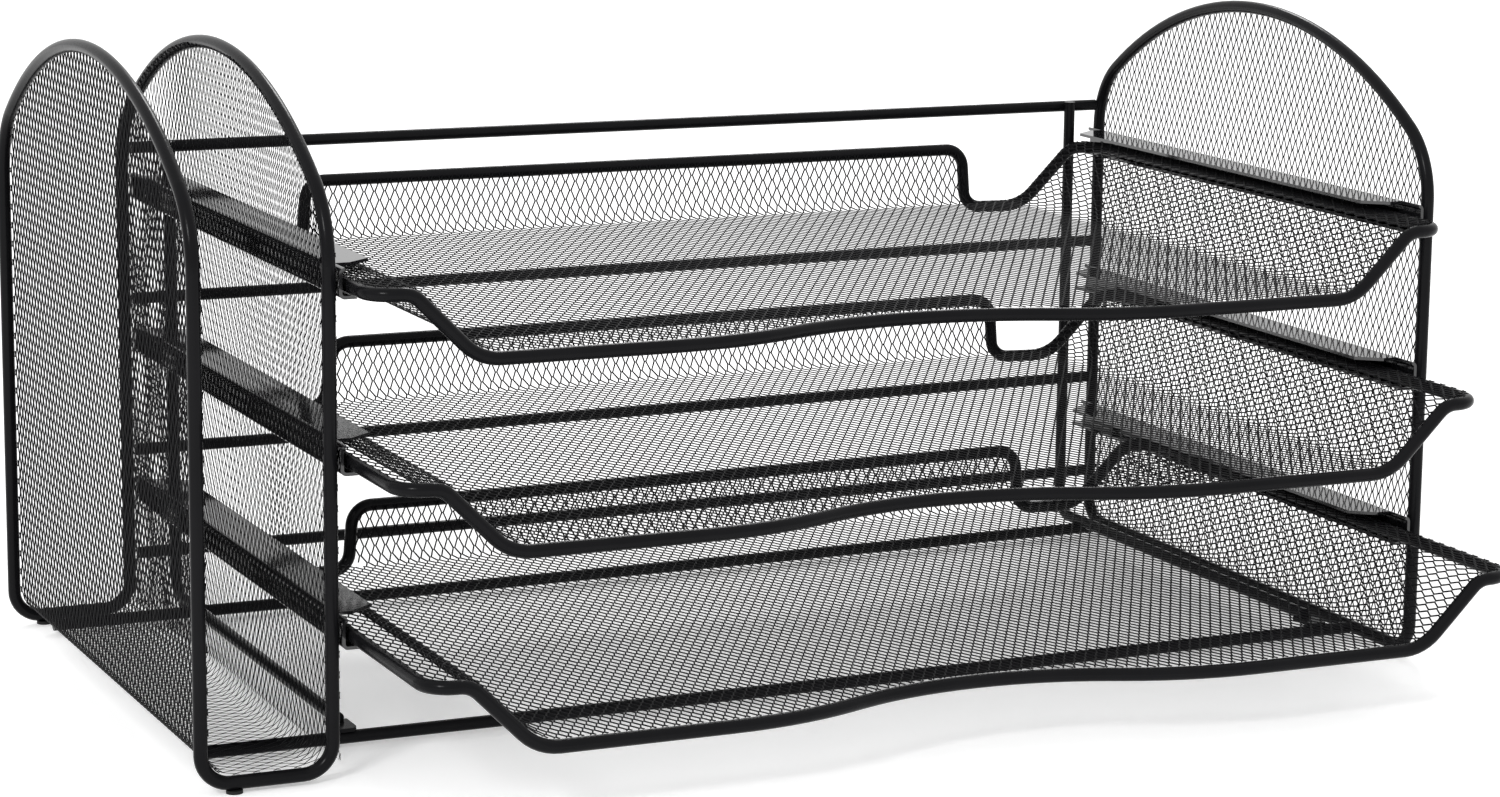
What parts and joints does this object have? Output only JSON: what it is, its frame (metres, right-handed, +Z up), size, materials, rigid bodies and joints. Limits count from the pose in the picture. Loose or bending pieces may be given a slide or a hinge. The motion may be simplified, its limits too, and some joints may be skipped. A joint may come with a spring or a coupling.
{
  "type": "letter tray",
  "caption": "Wire-mesh desk organiser: arched upright file pocket beside stacked landscape letter trays with finger recesses that slide in side channels.",
  "frame": {"origin": "on the table, under the middle of the whole with its trays standing out as stored", "axes": "+X to the right seen from the front, +Y to the back (trays pull out along -Y), +Z up"},
  "size_m": [0.419, 0.2846, 0.2081],
  "materials": {
    "wire": "satin black powder coat on round steel wire",
    "mesh": "satin black powder coat on expanded steel mesh",
    "channel": "satin black powder coat on folded sheet steel",
    "foot": "matt black plastic"
  },
  "bodies": {
    "frame": {"pocket_loop": "wire", "pocket_mesh": "mesh", "inner_side_mesh": "mesh", "end_loop": "wire", "end_mesh": "mesh", "back_bar_top": "wire", "back_bar_upper": "wire", "back_bar_middle": "wire", "back_bar_lower": "wire", "base_bar_front": "wire", "base_bar_back": "wire", "upright_left": "wire", "upright_right": "wire", "rail_left_lower": "channel", "rail_right_lower": "channel", "rail_left_middle": "channel", "rail_right_middle": "channel", "rail_left_upper": "channel", "rail_right_upper": "channel", "foot_pocket_front": "foot", "foot_pocket_back": "foot", "foot_end_front": "foot", "foot_end_back": "foot"},
    "tray_lower": {"tray_rim_lower": "wire", "tray_mesh_lower": "mesh"},
    "tray_middle": {"tray_rim_middle": "wire", "tray_mesh_middle": "mesh"},
    "tray_upper": {"tray_rim_upper": "wire", "tray_mesh_upper": "mesh"}
  },
  "joints": [
    {"name": "tray_lower_slide", "type": "slide", "parent": "frame", "child": "tray_lower", "axis": [0, -1, 0], "range_m": [-0.0486, 0.0914]},
    {"name": "tray_middle_slide", "type": "slide", "parent": "frame", "child": "tray_middle", "axis": [0, -1, 0], "range_m": [-0.0266, 0.1134]},
    {"name": "tray_upper_slide", "type": "slide", "parent": "frame", "child": "tray_upper", "axis": [0, -1, 0], "range_m": [-0.0026, 0.1374]}
  ]
}
